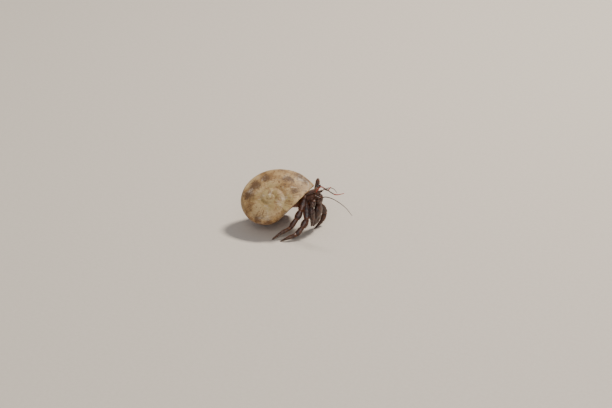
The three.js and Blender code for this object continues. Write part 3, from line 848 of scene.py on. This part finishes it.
def stalk_chitin():
    """Cream to orange, with brown stripes that run up the stalk and break into dots."""
    paint = Paint("stalk_chitin", Roughness=0.3, Specular_IOR_Level=0.5, Coat_Weight=0.4, Coat_Roughness=0.12)
    where = paint.place()
    along, back = paint.layer("along"), paint.layer("back")
    grain = paint.noise(where, 6.0, 3.0, 0.6)
    tint = paint.ramp(along, (0.0, (0.22, 0.075, 0.03)), (0.5, (0.50, 0.24, 0.12)), (0.9, (0.62, 0.45, 0.33)))
    stripe = paint.step((back * back - 0.42) * 3.0 + grain * 0.8, 0.3, 0.62)
    tint = paint.blend(stripe * 0.85, tint, (0.055, 0.022, 0.014))
    return paint.finish(Base_Color=tint, Normal=paint.bump(grain, 0.00003, 0.6))


def cornea_film():
    """Wet black, broken very finely by the eye's facets."""
    paint = Paint("cornea_film", Roughness=0.12, Specular_IOR_Level=0.6, Coat_Weight=1.0, Coat_Roughness=0.03)
    where = paint.place()
    facets = paint.node("TexVoronoi", {"feature": "F1"}, {"Vector": where, "Scale": 22.0})
    haze = paint.noise(where, 1.6, 2.0)
    tint = paint.ramp(haze, (0.35, (0.006, 0.005, 0.006)), (0.7, (0.026, 0.018, 0.016)))
    return paint.finish(Base_Color=tint, Normal=paint.bump(facets, 0.000012, 0.5))


stalk_look, cornea_look = stalk_chitin(), cornea_film()
for number, (side, (foot, tip)) in enumerate(EYES.items()):
    foot, tip = np.array(foot), np.array(tip)
    rise = unit(tip - foot)
    stalk = plate_surface(foot, tip, STRAIGHT, ACROSS, [0.4, 0.34, 0.38], [0.6, 0.48, 0.5], OVAL, 70, 48)
    plate_piece(f"eyestalk_{side}", stalk, stalk_look, 12, 0.05, 0.012, 430 + number, 0.012)
    low, high = tip - rise * 0.16, tip + rise * 0.75
    eye = plate_surface(low, high, STRAIGHT, ACROSS, [0.42, 0.46, 0.4], [0.5, 0.56, 0.46], OVAL, 48, 48)
    plate_piece(f"eye_{side}", eye, cornea_look, 2, 0.05, 0.002, 434 + number, 0.004)

# ---------- The skin ----------
# One soft skin runs from the mouth back along the hidden hind body, which tapers and coils into the
# shell, and out into every limb, where it shows at the joints as a thin wrinkled membrane.
SKIN_GRAIN = 0.16
# The hind body: the middle of each section with its half width and half thickness.
TRUNK = [
    (13.0, 5.6, 17.4, 0.6, 0.5), (12.3, 5.7, 17.1, 2.0, 1.7), (10.6, 5.9, 16.1, 2.8, 2.4),
    (8.4, 6.3, 14.8, 3.15, 2.65), (6.2, 6.7, 13.3, 3.2, 2.7), (4.6, 7.5, 12.4, 3.3, 3.0),
    (1.6, 8.4, 11.8, 3.9, 3.25), (-1.9, 8.9, 11.3, 4.1, 3.35), (-5.2, 8.8, 11.1, 3.8, 3.2),
    (-8.4, 8.2, 11.1, 3.1, 2.7), (-10.8, 7.5, 11.2, 2.3, 2.1), (-11.8, 7.15, 11.2, 0.6, 0.5),
]


# The joints of each claw's arm, from its hip on, and the radii of the skin at a limb's joints.
ARMS = [
    [(9.6, 6.2, 14.2), (11.4, 6.6, 15.0), (14.0, 7.1, 16.7), (13.25, 6.45, 13.2)],
    [(9.6, 4.9, 14.4), (11.0, 4.2, 14.9), (12.9, 2.8, 15.95), (12.05, 1.95, 13.05)],
]
CORE_RADII = [
    [0.95, 0.78, 0.66, 0.5], [0.95, 0.78, 0.66, 0.5], [0.9, 0.7, 0.6, 0.5], [0.9, 0.75, 0.6, 0.45],
    [1.1, 0.95, 0.85, 0.8], [0.9, 0.75, 0.65, 0.55],
]
# Places and radii where skin joins the claws' fingers, the head and the shield.
HINGES = [
    ((12.75, 4.6, 8.3), 0.75), ((12.5, 2.25, 8.7), 0.5), ((12.5, 5.0, 16.9), 0.9), ((12.6, 5.6, 19.1), 0.75),
    ((10.7, 4.3, 13.3), 1.35), ((9.0, 4.6, 13.6), 1.5), ((11.4, 5.6, 14.6), 1.3),
    ((12.6, 4.3, 17.6), 0.6), ((12.6, 6.9, 17.8), 0.6), ((12.4, 5.6, 18.2), 1.2),
]


def tube_faces(points):
    """The points and quads of rows that each close on themselves, shut by one face at either end."""
    index = np.arange(points.shape[0] * points.shape[1]).reshape(points.shape[:2])
    return points.reshape(-1, 3), ring_quads(index) + [index[0, ::-1].tolist(), index[-1].tolist()]


def ball_mesh(centre, radius, away):
    """A rough ball, half as long again along away."""
    lift = np.linspace(0, math.pi, 8)[:, None]
    turn = np.linspace(0, 2 * math.pi, 12, endpoint=False)[None]
    ball = np.stack([np.sin(lift) * np.cos(turn), np.sin(lift) * np.sin(turn), np.cos(lift) + 0 * turn], -1)
    return tube_faces(centre + (ball + (ball @ away)[..., None] * away * 0.5) * radius)


def trunk_surface():
    """Ovals set on a curve through the trunk's table, broad across the crab."""
    line = curve_through(TRUNK, 90)
    axis = unit(np.gradient(line[:, :3], axis=0))
    turn = np.linspace(0, 2 * math.pi, 48, endpoint=False)
    flat = np.maximum(line[:, 3], 0.1)[:, None] * np.cos(turn)
    deep = np.maximum(line[:, 4], 0.1)[:, None] * np.sin(turn)
    return ovals(line[:, :3], axis, square_to(axis, (0.0, 1.0, 0.3)), flat, deep)


def limb_cores():
    """A chain of drawn-out balls down each limb: five from the trunk to its hip, and one at each joint."""
    parts = []
    for chain, radii in zip([joints for joints, _ in LEGS.values()] + ARMS, CORE_RADII):
        chain = np.array(chain, float)
        x, y, z = chain[0]
        root = np.array([x - 1.2, 6.0 + (y - 6.0) * 0.35, max(z, 14.0)])
        for share in np.linspace(0, 1, 5):
            parts.append(ball_mesh(root + (chain[0] - root) * share, radii[0], unit(chain[0] - root)))
        for number, radius in enumerate(radii):
            away = unit(chain[min(number + 1, len(chain) - 1)] - chain[max(number - 1, 0)])
            parts.append(ball_mesh(chain[number], radius, away))
    return parts + [ball_mesh(np.array(place), radius, np.array([0.0, 0.0, 1.0])) for place, radius in HINGES]


def skin_tissue():
    """Soft skin: dull orange brown at the joints, paler and pinker on the hind body, finely wrinkled."""
    paint = Paint("skin_tissue", Roughness=0.5, Specular_IOR_Level=0.4, Subsurface_Weight=0.08)
    paint.shader.inputs["Subsurface Scale"].default_value = 0.0006
    where = paint.place()
    cloud = paint.noise(where, 0.5, 4.0, 0.6, 0.5)
    grain = paint.noise(where, 4.0, 4.0, 0.65, 0.3)
    tint = paint.ramp(cloud, (0.35, (0.040, 0.015, 0.009)), (0.62, (0.105, 0.040, 0.020)))
    apart = paint.node("SeparateXYZ", None, {0: where}, out=0)
    tint = paint.blend(paint.step(apart, 0.5, -5.0), tint, (0.36, 0.17, 0.11))
    tint = paint.blend(paint.step(grain, 0.55, 0.7) * 0.4, tint, (0.035, 0.014, 0.009))
    return paint.finish(Base_Color=tint, Roughness=grain * 0.3 + 0.36, Normal=paint.bump(grain, 0.00010, 0.8))


def make_skin():
    """All the soft parts run together by a voxel remesh, in millimetres, then moved along the normals by
    folds across the hind body, which are a sine of the place along it, and by a fine ripple."""
    vertices, faces = np.zeros((0, 3)), []
    for points, quads in [tube_faces(trunk_surface())] + limb_cores():
        faces += [[corner + len(vertices) for corner in quad] for quad in quads]
        vertices = np.concatenate([vertices, points])
    rough = bpy.data.meshes.new("skin_rough")
    rough.from_pydata((vertices - CENTRE).tolist(), [], faces)
    holder = bpy.data.objects.new("skin_rough", rough)
    scene.collection.objects.link(holder)
    remesh = holder.modifiers.new("join", "REMESH")
    remesh.mode = "VOXEL"
    remesh.voxel_size = SKIN_GRAIN
    smooth = holder.modifiers.new("smooth", "SMOOTH")
    smooth.iterations = 6
    joined = bpy.data.meshes.new_from_object(holder.evaluated_get(bpy.context.evaluated_depsgraph_get()))
    bpy.data.objects.remove(holder)
    bpy.data.meshes.remove(rough)
    place, normal = np.empty((2, len(joined.vertices) * 3), np.float32)
    joined.vertices.foreach_get("co", place)
    joined.vertices.foreach_get("normal", normal)
    place, normal = place.reshape(-1, 3), normal.reshape(-1, 3)
    along = place[:, 0]
    fold = np.sin(along * 5.2 + 1.4 * ripple(place, (2.3, 4.1), 71)) * np.clip((2.0 - along) / 4.0, 0, 1)
    place = place + normal * (fold * 0.07 + ripple(place, (0.9, 1.3, 2.1), 72) * 0.05)[:, None]
    place[:, 2] = np.maximum(place[:, 2], 0.05)
    joined.vertices.foreach_set("co", (place * MM).astype(np.float32).reshape(-1))
    joined.name = "skin"
    joined.shade_smooth()
    joined.materials.clear()
    joined.materials.append(skin_tissue())
    piece = bpy.data.objects.new("skin", joined)
    scene.collection.objects.link(piece)
    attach(piece, "root")
    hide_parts("abdomen", "thorax")


make_skin()

# ---------- The feelers ----------
# Two long whips of fine rings grow from the stout bases, and two jointed short feelers with red ends
# from between the eyes. All of them taper. They are springy chitin, stiff enough to hold their curve.
FEELERS = {
    "antenna_right": [
        (15.1, 3.7, 16.9), (15.75, 3.4, 17.1), (18.11, 2.6, 18.69), (21.54, 1.6, 19.15),
        (25.45, 0.6, 18.5), (29.41, -0.4, 16.94), (32.99, -1.2, 14.05),
    ],
    "antenna_left": [
        (14.25, 8.15, 18.7), (14.75, 8.6, 19.05), (16.3, 10.6, 19.4), (17.3, 13.4, 18.0), (17.8, 16.5, 14.6),
    ],
    "antennule_right": [
        (12.9, 4.85, 19.3), (13.3, 4.7, 20.1), (15.09, 4.6, 22.15), (18.53, 4.0, 21.62),
        (22.78, 3.2, 20.52), (27.43, 2.6, 22.22),
    ],
    "antennule_left": [
        (12.9, 6.2, 19.3), (13.3, 6.3, 20.1), (14.4, 6.7, 21.3), (17.03, 7.2, 19.83), (18.88, 7.4, 21.71),
    ],
}
# Rows, radii from base to tip, the rings' spacing and depth, and the places of the swollen joints.
WHIP = (420, [0.26, 0.22, 0.17, 0.11], 0.34, 0.012, ())
SHORT = (240, [0.27, 0.25, 0.24, 0.26, 0.16], 0.42, 0.008, (0.4, 0.6, 0.8))


def feeler_surface(points, rows, radii, ring_length, ring_depth, swellings):
    """A round tube along a curve. Its radius runs smoothly through radii, is nicked by even rings, and
    swells at each joint."""
    line = curve_through([(*point, 0.0) for point in points], rows)[:, :3]
    t = np.linspace(0, 1, rows)
    length = np.concatenate([[0], np.cumsum(np.linalg.norm(np.diff(line, axis=0), axis=1))])
    radius = smooth_run(radii, t) + ring_depth * np.sin(length * 2 * math.pi / ring_length)
    for place in swellings:
        radius += 0.05 * np.exp(-(((t - place) / 0.018) ** 2))
    radius *= np.minimum(1, np.sqrt(np.clip((1 - t) * 40, 0.0004, 1)))
    axis = unit(np.gradient(line, axis=0))
    side = unit(np.cross(np.array([0.13, 1.0, 0.31]), axis))
    turn = np.linspace(0, 2 * math.pi, 12, endpoint=False)
    flat, deep = radius[:, None] * np.cos(turn), radius[:, None] * np.sin(turn)
    return marked(ovals(line, axis, side, flat, deep), t, np.cos(turn))


def feeler_chitin(name, *stops):
    """Tinted along the feeler, and ringed and grained finely."""
    paint = Paint(name, Roughness=0.32, Specular_IOR_Level=0.5, Coat_Weight=0.25, Coat_Roughness=0.2)
    where = paint.place()
    along = paint.layer("along")
    grain = paint.noise(where, 3.0, 3.0, 0.6)
    tint = paint.ramp(along + (grain - 0.5) * 0.12, *stops)
    tint = paint.blend(paint.step(grain, 0.55, 0.75) * 0.4, tint, (0.05, 0.02, 0.014))
    return paint.finish(Base_Color=tint, Roughness=grain * 0.2 + 0.24, Normal=paint.bump(grain, 0.00003, 0.6))


whip_chitin = feeler_chitin(
    "whip_chitin", (0.0, (0.11, 0.040, 0.022)), (0.15, (0.045, 0.019, 0.013)), (1.0, (0.060, 0.030, 0.020)),
)
short_chitin = feeler_chitin(
    "short_chitin", (0.0, (0.36, 0.050, 0.026)), (0.46, (0.30, 0.040, 0.024)), (0.56, (0.090, 0.034, 0.020)),
    (0.74, (0.060, 0.036, 0.022)), (0.82, (0.40, 0.040, 0.028)), (1.0, (0.50, 0.070, 0.048)),
)
for name, course in FEELERS.items():
    whip = name.startswith("antenna_")
    points, t, back = feeler_surface(course, *(WHIP if whip else SHORT))
    layers = {"pimple": 0 * t, "along": t, "back": back}
    piece = grid_piece(name, points - CENTRE, whip_chitin if whip else short_chitin, layers)
    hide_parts(name)

# ---------- The bristles ----------
# Short stiff bristles stand on the limbs' plates in little tufts of two or three, thickest towards each
# plate's end and on the mouth limbs. They are horn brown, paler at the tip, and lean outwards.
ROOT_RADIUS, MIDDLE_RADIUS = 0.028, 0.017
FIRST_STAGE = 0.55
# One bristle's triangles: its root's three corners, then its middle's three, then its tip.
SPIKE = [
    (0, 1, 4), (0, 4, 3), (1, 2, 5), (1, 5, 4), (2, 0, 3), (2, 3, 5),
    (3, 4, 6), (4, 5, 6), (5, 3, 6), (0, 2, 1),
]
# The same seven points on a tuft's patch of the map.
SPIKE_MAP = [
    (0, 0), (0.003, 0), (0.0015, 0.001),
    (0, 0.002), (0.003, 0.002), (0.0015, 0.0025), (0.0015, 0.003),
]


def bristle_horn():
    """Horn brown, paler towards the tip."""
    paint = Paint("bristle_horn", Roughness=0.35, Specular_IOR_Level=0.5)
    cloud = paint.noise(paint.place(), 1.2, 2.0)
    tint = paint.ramp(
        paint.layer("tip") + (cloud - 0.5) * 0.4,
        (0.0, (0.030, 0.012, 0.008)), (0.6, (0.085, 0.036, 0.018)), (1.0, (0.26, 0.13, 0.06)),
    )
    return paint.finish(Base_Color=tint)


def bristle_tufts():
    """Every bristle is a bent three-sided spike of two stages. Its map holds a small patch at its root's
    place on an unwrap of the limbs, where across is the turn round the plate and up is the plate's own
    strip of the map."""
    corners = np.arange(3)[:, None] * 2 * math.pi / 3
    spikes, maps = [], []
    for strip, (surface, seed, count, reach) in enumerate(bristle_rows):
        points, t, _ = surface
        random = np.random.default_rng(seed + 5000)
        normal = surface_normals(points)
        ahead = unit(np.gradient(points, axis=0))
        clear = np.clip((t - 0.25) * 4, 0, 1) * np.clip((0.97 - t) * 20, 0, 1)
        odds = (clear * (0.35 + 0.65 * t)).reshape(-1)
        for root in random.choice(len(odds), size=count, p=odds / odds.sum()):
            at = divmod(int(root), points.shape[1])
            spot = (at[1] / points.shape[1] * 0.98 + 0.005, (strip + 0.1 + 0.8 * t[at]) / len(bristle_rows))
            for _ in range(random.integers(2, 4)):
                out = normal[at] + ahead[at] * random.uniform(0.5, 1.3)
                out = unit(out + random.normal(size=3) * 0.22)
                long = reach * random.uniform(0.5, 1.1)
                foot = points[at] - normal[at] * 0.05 + random.normal(size=3) * 0.03
                side = unit(np.cross(out, np.array([0.2, 0.5, 0.84])))
                ring = side * np.cos(corners) + np.cross(out, side) * np.sin(corners)
                middle = foot + out * long * FIRST_STAGE
                end = middle + unit(out + ahead[at] * 0.7) * long * (1 - FIRST_STAGE)
                rings = [foot + ring * ROOT_RADIUS, middle + ring * MIDDLE_RADIUS]
                spikes.append(np.concatenate([*rings, [end]]))
                maps.append(spot)
    spikes = np.array(spikes) - CENTRE
    spikes[..., 2] = np.maximum(spikes[..., 2], 0.02)
    faces = (np.arange(len(spikes))[:, None, None] * 7 + np.array(SPIKE)).reshape(-1, 3)
    mesh = bpy.data.meshes.new("bristles")
    mesh.from_pydata((spikes.reshape(-1, 3) * MM).tolist(), [], faces.tolist())
    loops = np.array(SPIKE_MAP)[faces.reshape(-1) % 7] + np.array(maps)[faces.reshape(-1) // 7]
    mesh.uv_layers.new(name="OFBake").data.foreach_set("uv", loops.astype(np.float32).reshape(-1))
    shares = np.tile([0, 0, 0, FIRST_STAGE, FIRST_STAGE, FIRST_STAGE, 1.0], len(spikes))
    mesh.attributes.new("tip", "FLOAT", "POINT").data.foreach_set("value", shares.astype(np.float32))
    mesh.shade_smooth()
    mesh.materials.append(bristle_horn())
    piece = bpy.data.objects.new("bristles", mesh)
    scene.collection.objects.link(piece)
    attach(piece, "root")


bristle_tufts()
